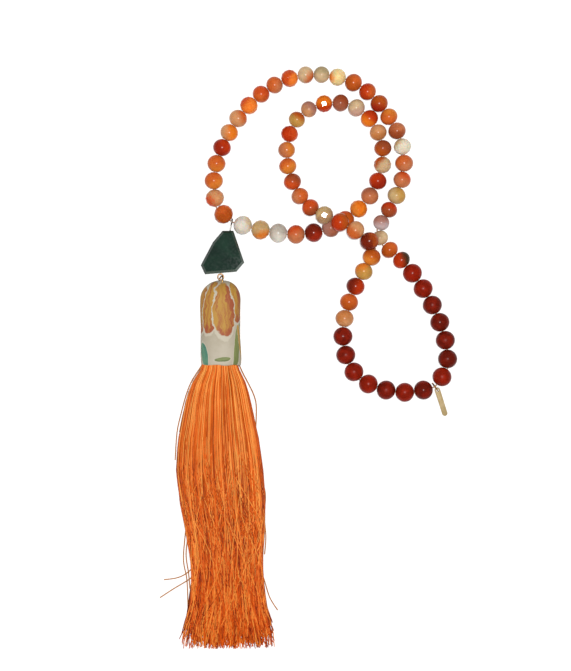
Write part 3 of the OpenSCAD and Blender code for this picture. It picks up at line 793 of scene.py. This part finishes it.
def printed_leather():
    """Pale stained leather with the print's petals one over another, each on a pale rim."""
    material, tree, shader = new_material("printed_leather")
    flat = put(tree, "ShaderNodeUVMap", {"uv_map": "print"}).outputs[0]
    place = own_place(tree)
    fine = put(tree, "ShaderNodeTexNoise", Vector=place, Scale=1500.0, Detail=3.0)
    stain = put(tree, "ShaderNodeTexNoise", Vector=place, Scale=130.0, Detail=3.0)
    colour = blend(tree, ramp(tree, stain.outputs[0], 0.3, 0.7), paint("B9AE98"), paint("C6BCA8"))
    for across_cm, along_cm, turn, length, width, taper, ragged, light, dark in PRINT:
        leaf = put(tree, "ShaderNodeGroup", {"node_tree": petal}, Vector=flat,
                   Middle=(across_cm, along_cm, 0), Turn=math.radians(turn), Length=length, Width=width,
                   Taper=taper, Ragged=ragged)
        across, along = leaf.outputs["Across"], leaf.outputs["Along"]
        stretched = put(tree, "ShaderNodeCombineXYZ", X=reckon(tree, "MULTIPLY", across, 5.0),
                        Y=reckon(tree, "MULTIPLY", along, 0.8), Z=across_cm * 7)
        streaks = put(tree, "ShaderNodeTexNoise", Scale=1.0, Detail=3.0, Vector=stretched.outputs[0])
        edge = ramp(tree, across, 0.0, 1.0, 0.0, 0.24)
        tip = reckon(tree, "ADD", edge, ramp(tree, along, -0.5, -1.0, 0.0, 0.24))
        streaked = reckon(tree, "ADD", streaks.outputs[0], tip)
        brushwork = blend(tree, ramp(tree, streaked, 0.42, 0.74), paint(light), paint(dark))
        colour = blend(tree, leaf.outputs["Rim"], colour, paint("CEC5B0"))
        colour = blend(tree, leaf.outputs["Mask"], colour, brushwork)
    pores = put(tree, "ShaderNodeTexVoronoi", Vector=place, Scale=1800.0)
    skin = reckon(tree, "ADD", pores.outputs["Distance"], fine.outputs[0])
    skin_bump = put(tree, "ShaderNodeBump", Strength=0.25, Distance=0.05 * MM, Height=skin)
    feed(tree, shader, Base_Color=colour, Roughness=ramp(tree, fine.outputs[0], 0.3, 0.7, 0.6, 0.75),
         Specular_IOR_Level=0.3, Normal=skin_bump.outputs[0])
    return material


dress(cap, printed_leather())
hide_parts("tassel_cap")
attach(cap, "root")

# Tassel.
# Over two thousand fine silk strands are bound into a head inside the cap. They fan out flat on the
# table, run together and across each other lower down, and spread again at their uneven cut ends.
strand_thickness = 0.36 * MM
stray_thickness = 0.52 * MM
strand_steps = 21
hidden_share = 0.03
tassel_length = cap_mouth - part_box("tassel")[0].y
tassel_side = 0.97
tassel_bunches = 16
bunch_pull = 0.06
tip_scatter = 1.5
end_waver = 0.04
tassel_locks = 11
lock_depth = 0.9
lock_pull = 0.22
end_splay = 0.85
splay_width = 2.2
lowest_strand = 0.22

# Form of the tassel below the cap, in mm. Columns: share of the length, shift of the middle,
# half width, half thickness, height of the underside.
TASSEL_FORM = [
    (0, -0.2, 7.5, 5.2, 1.8), (0.012, -0.3, 9.1, 5.3, 1.5), (0.03, -0.5, 10.6, 5.3, 1.2),
    (0.073, -0.9, 13.4, 5.4, 0.6), (0.127, -1.1, 15.3, 5.4, 0.3), (0.2, -1, 17.2, 5.4, 0),
    (0.27, -0.9, 19.2, 5.3, 0), (0.37, -0.4, 20.6, 5.1, 0), (0.48, 0.9, 20.4, 4.9, 0),
    (0.59, 2.2, 18.8, 4.5, 0), (0.69, 2.8, 17.3, 4.2, 0), (0.76, 3.2, 17.2, 3.9, 0),
    (0.84, 3.5, 18.3, 3.4, 0), (0.91, 3.6, 20.2, 3, 0), (0.96, 3.4, 20.8, 2.7, 0), (1, 3.3, 20.6, 2.2, 0),
]


def tassel_form(share):
    """The tassel's middle, half width, half thickness and underside at a share of its length."""
    share = min(1, max(0, share))
    k = max(i for i in range(len(TASSEL_FORM) - 1) if TASSEL_FORM[i][0] <= share)
    a, b = TASSEL_FORM[k], TASSEL_FORM[k + 1]
    t = (share - a[0]) / (b[0] - a[0])
    t = t * t * (3 - 2 * t) * 0.3 + t * 0.7
    return [p + (q - p) * t for p, q in zip(a[1:], b[1:])]


def strand_path(place, layer, drift, first, run, reach, wander):
    """Points of one strand. place runs from -1 at the left to 1 at the right, layer from -1 below to 1 on
    top. It drifts sideways over a run of its length, which starts past first, and wanders a little."""
    bunch = round(place * tassel_bunches)
    bunch_lean = bunch_pull * noise.noise(Vector((bunch * 3.7, 1.5, 0)))
    bunch_tips = noise.noise(Vector((bunch * 2.9, 7.5, 0)))
    tip_lean = dice.uniform(-tip_scatter, tip_scatter) + bunch_tips + 0.4 * place
    drifts_at, phase = dice.uniform(first, 1.05 - run), dice.uniform(0, full_turn)
    points = []
    for step in range(strand_steps + 1):
        share = -hidden_share + (reach + hidden_share) * step / strand_steps
        shown = max(0, share)
        shift, half, thick, under = tassel_form(share)
        away = min(1, max(0, (shown - drifts_at) / run))
        u = place + drift * away ** 2 * (3 - 2 * away) + bunch_lean * shown
        slow, quick = math.sin(phase + 7 * share), math.sin(3 * phase + 23 * share)
        u += wander * shown * slow + end_waver * shown ** 3 * quick
        if abs(u) > tassel_side:
            u = math.copysign(min(abs(u), 2 * tassel_side - abs(u)), u)
        # Locks show from a little below the cap to two thirds of the length.
        settled = min(1, shown * 8) * max(0, 1 - 1.5 * shown)
        lock = (1 - u) * tassel_locks / 2
        groove = (0.5 + 0.5 * math.cos(2 * math.pi * lock)) ** 3 * settled
        u += lock_pull / tassel_locks * math.sin(2 * math.pi * lock) * settled
        splay = max(0, share - end_splay) / (1 - end_splay)
        # The section is round at the cap and settles flat on the table over a quarter of the length.
        bow = math.sqrt(max(0, 1 - 0.97 * min(1, u * u)))
        flatness = max(0.12, 1 - shown * 4)
        low = under + thick * (1 - bow) * flatness
        high = under + thick * (1 + bow) - lock_depth * groove
        z = max(lowest_strand, low + (high - low) * (layer + 1) / 2)
        x = shift + half * u + splay_width * tip_lean * splay ** 1.6
        points.append(Vector((cap_middle + x * MM, cap_mouth - tassel_length * share, z * MM)))
    return points


def strands(name, paths, thickness, darkest, lightest):
    """Strands along the paths as one mesh, with a shade for each strand."""
    curve = bpy.data.curves.new(name, "CURVE")
    curve.dimensions = "3D"
    curve.bevel_depth = thickness / 2
    curve.bevel_resolution = 0
    curve.use_fill_caps = True
    for points in paths:
        spline = curve.splines.new("POLY")
        spline.points.add(len(points) - 1)
        spline.points.foreach_set("co", [c for p in points for c in (*p, 1)])
    piece = bpy.data.objects.new(name, curve)
    bpy.context.collection.objects.link(piece)
    pick(piece)
    bpy.ops.object.convert(target="MESH")
    piece = bpy.context.object
    ring_corners = 4
    shades = []
    for points in paths:
        shades += [dice.uniform(darkest, lightest)] * (ring_corners * len(points))
    shades += [0.5] * (len(piece.data.vertices) - len(shades))
    piece.data.attributes.new("shade", "FLOAT", "POINT").data.foreach_set("value", shades)
    bpy.ops.object.shade_smooth()
    return piece


def silk(name):
    """Silk with a soft sheen, not coloured yet, with its node tree and shader."""
    material, tree, shader = new_material(name)
    twist = put(tree, "ShaderNodeTexNoise", Vector=own_place(tree), Scale=2600.0, Detail=1.0)
    feed(tree, shader, Roughness=ramp(tree, twist.outputs[0], 0.3, 0.7, 0.42, 0.58), Specular_IOR_Level=0.16)
    return material, tree, shader


def orange_silk():
    """Silk from rust to pale orange by each strand's shade, redder and less even towards its ends. Each
    strand's shade is partly its own tone and partly painted light: painted shade at the dark end, painted
    sheen at the pale end.
    """
    material, tree, shader = silk("orange_silk")
    place = own_place(tree)
    # Large soft noise lightens patches of strands: a painted sheen.
    painted_sheen_patches = put(tree, "ShaderNodeTexNoise", Vector=place, Scale=130.0, Detail=2.0)
    glow = reckon(tree, "MULTIPLY_ADD", painted_sheen_patches.outputs[0], 0.3, -0.12)
    tone = reckon(tree, "ADD", carried(tree, "shade", "Fac"), glow)
    along = put(tree, "ShaderNodeSeparateXYZ", Vector=place).outputs["Y"]
    down = ramp(tree, along, cap_mouth, cap_mouth - tassel_length)
    middle_tone = 0.5
    spread = ramp(tree, down, 0.1, 0.9, 1.25, 1.8)
    tone = reckon(tree, "MULTIPLY_ADD", reckon(tree, "SUBTRACT", tone, middle_tone), spread, middle_tone)
    # Strands near the cap are lighter: a painted sheen.
    tone = reckon(tree, "ADD", tone, ramp(tree, down, 0, 0.45, 0.13, 0.03))
    orange = blend(tree, ramp(tree, tone, 0.05, 0.6), paint("A03800", 0.8), paint("EC6C08", 0.82))
    # The pale orange of the lightest strands is a painted highlight.
    colour = blend(tree, ramp(tree, tone, 0.68, 1.15), orange, paint("FFAE54", 0.88))
    redder = (0.84, 0.46, 0.08, 1)
    colour = blend(tree, reckon(tree, "MULTIPLY", down, 0.6), colour, redder, "MULTIPLY")
    feed(tree, shader, Base_Color=colour)
    return material


def stray_silk():
    """Plain brown silk."""
    material, tree, shader = silk("stray_silk")
    feed(tree, shader, Base_Color=paint("B4701C", 0.9))
    return material


def painted_shade_silk():
    """Matt silk with fibres that run lengthwise, painted dark as the shade between and under the strands."""
    material, tree, shader = new_material("painted_shade_silk")
    lengthwise = put(tree, "ShaderNodeMapping", Vector=own_place(tree), Scale=(1600, 60, 1600))
    fibres = put(tree, "ShaderNodeTexNoise", Vector=lengthwise.outputs[0], Scale=1.0, Detail=3.0).outputs[0]
    fibre_bump = put(tree, "ShaderNodeBump", Strength=0.8, Distance=0.3 * MM, Height=fibres)
    colour = blend(tree, ramp(tree, fibres, 0.35, 0.65), paint("963604"), paint("C85E14"))
    feed(tree, shader, Base_Color=colour, Normal=fibre_bump.outputs[0], Roughness=0.8,
         Specular_IOR_Level=0.1)
    return material


def cut_end(place, longest, unevenness):
    """The share of the tassel's length at which a strand ends. Those at the sides end sooner."""
    return longest - unevenness - 0.09 * abs(place) ** 3


# Loose strands cross the others on top. Below them most strands gather in tufts, and under those
# the rest are packed evenly.
crossing_count = 420
upper_count = 740
packed_count = 1050
tuft_count = 64
tufts = sorted(dice.uniform(-0.96, 0.96) for n in range(tuft_count))
crossing_paths, upper_paths, middle_paths, lower_paths = [], [], [], []
for n in range(crossing_count):
    place = dice.uniform(-tassel_side, tassel_side)
    reach = cut_end(place, 1.005, 0.14 * dice.random() ** 2)
    drift = dice.choice((-1, 1)) * dice.uniform(0.1, 1)
    path = strand_path(place, dice.uniform(1.02, 1.22), drift, 0.25, dice.uniform(0.2, 0.5), reach, 0.05)
    crossing_paths.append(path)
for n in range(upper_count):
    free = n % 4 == 0
    place = dice.uniform(-tassel_side, tassel_side) if free else dice.choice(tufts) + dice.gauss(0, 0.009)
    reach = cut_end(place, 1.005, 0.14 * dice.random() ** 2)
    layer = dice.uniform(0.78, 1.04)
    drift = dice.gauss(0, 0.17)
    path = strand_path(place, layer, drift, -0.05, dice.uniform(0.3, 0.5), reach, dice.uniform(0.01, 0.08))
    upper_paths.append(path)
for n in range(packed_count):
    place = dice.uniform(-tassel_side, tassel_side)
    reach = cut_end(place, 0.99, 0.1 * dice.random())
    low = n % 2
    layer = dice.uniform(-1, -0.2) if low else dice.uniform(-0.2, 0.8)
    path = strand_path(place, layer, dice.gauss(0, 0.14), -0.05, 0.4, reach, dice.uniform(0.01, 0.07))
    (lower_paths if low else middle_paths).append(path)

# Strands that have come away, a few clinging together in each. Light shines round them, so they look browner.
# Each row lists places in mm from the middle of the cap's mouth.
STRAYS = [
    [(-8, -84, 4), (-11, -91, 3), (-15, -96, 1.5), (-20, -98.8, 0.6), (-26.5, -99.8, 0.4)],
    [(-9, -92, 4), (-13, -98, 2.5), (-17, -101, 1), (-22, -104, 0.5), (-28.4, -108.2, 0.4)],
    [(-15.5, -70, 3), (-16.8, -81, 1.2), (-17.4, -91, 0.6), (-15.8, -100, 0.4), (-15.3, -113, 0.4)],
    [(17, -91, 3), (20, -99, 1.5), (22.8, -108, 0.6), (26.5, -114, 0.4)],
    [(-7.5, 2, 6), (-9.8, -1.5, 6), (-13.6, -7.4, 4), (-16.2, -14, 3), (-18.4, -22, 1.6),
     (-20.4, -31, 0.8), (-21.3, -44, 0.5)],
    [(-7, 2, 6), (-9.4, -2, 6), (-12.4, -7.4, 4), (-15.3, -15, 3), (-17.6, -23, 1.6), (-19.2, -31, 1.2)],
    [(8, 2, 6), (10.2, -3, 6), (13.2, -8.8, 4.5), (15.4, -13.5, 3.5), (16.5, -18, 2.6),
     (16.5, -25, 1.6), (16, -34, 1)],
    [(-15, -78, 3), (-16.2, -88, 1), (-15, -97, 0.5), (-14.4, -104, 0.5)],
    [(19, -52, 3), (20.8, -60, 1.4), (20.3, -70, 0.8), (21, -80, 0.7), (20.4, -88, 1)],
]
stray_steps = 4
stray_paths = []
for row in STRAYS:
    spots = [Vector((cap_middle + x * MM, cap_mouth + y * MM, z * MM)) for x, y, z in row]
    path = []
    for k in range(len(spots) - 1):
        before, after = spots[max(0, k - 1)], spots[min(len(spots) - 1, k + 2)]
        leave, arrive = (spots[k + 1] - before) / 2, (after - spots[k]) / 2
        for step in range(stray_steps):
            t = step / stray_steps
            path.append(spots[k] * (2 * t ** 3 - 3 * t ** 2 + 1) + leave * (t ** 3 - 2 * t ** 2 + t)
                        + spots[k + 1] * (3 * t ** 2 - 2 * t ** 3) + arrive * (t ** 3 - t ** 2))
    stray_paths.append(path + [spots[-1]])

loose_silk = orange_silk()
# The sets lying deeper take their shades from darker ranges: a painted shade where they lie under the others.
for name, paths, thickness, darkest, lightest, material in (
        ("crossing_strands", crossing_paths, strand_thickness, 0.15, 1, loose_silk),
        ("stray_strands", stray_paths, stray_thickness, 0, 1, stray_silk()),
        ("upper_strands", upper_paths, strand_thickness, 0.05, 0.9, loose_silk),
        ("middle_strands", middle_paths, strand_thickness, 0, 0.55, loose_silk),
        ("lower_strands", lower_paths, strand_thickness, 0, 0.4, loose_silk)):
    piece = strands(name, paths, thickness, darkest, lightest)
    dress(piece, material)
    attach(piece, "root")

# Below the strands the bundle is imported solid, in dark silk: a painted shade that shows between the locks.
bundle_depth = 0.9 * MM
core = copy_of("tassel", "strand_bundle")
shrink = core.modifiers.new("under_the_strands", "DISPLACE")
shrink.strength = -bundle_depth
shrink.mid_level = 0
bpy.ops.object.modifier_apply(modifier=shrink.name)
bpy.ops.object.shade_smooth()
dress(core, painted_shade_silk())
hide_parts("tassel")
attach(core, "root")

# Bar charm.
# A small flat bar of pale gilt metal, round at both ends, hangs from the small ring by one hole.
bar_softness = 0.15 * MM
bar = copy_of("bar_charm", "gilt_bar_charm")
soften(bar, bar_softness, 40)
bpy.ops.object.shade_smooth_by_angle(angle=math.radians(25))
dress(bar, metal("gilt_bar", "C2AB80", "B09763", 0.62, 260.0, metallic=0.25))
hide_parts("bar_charm")
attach(bar, "root")
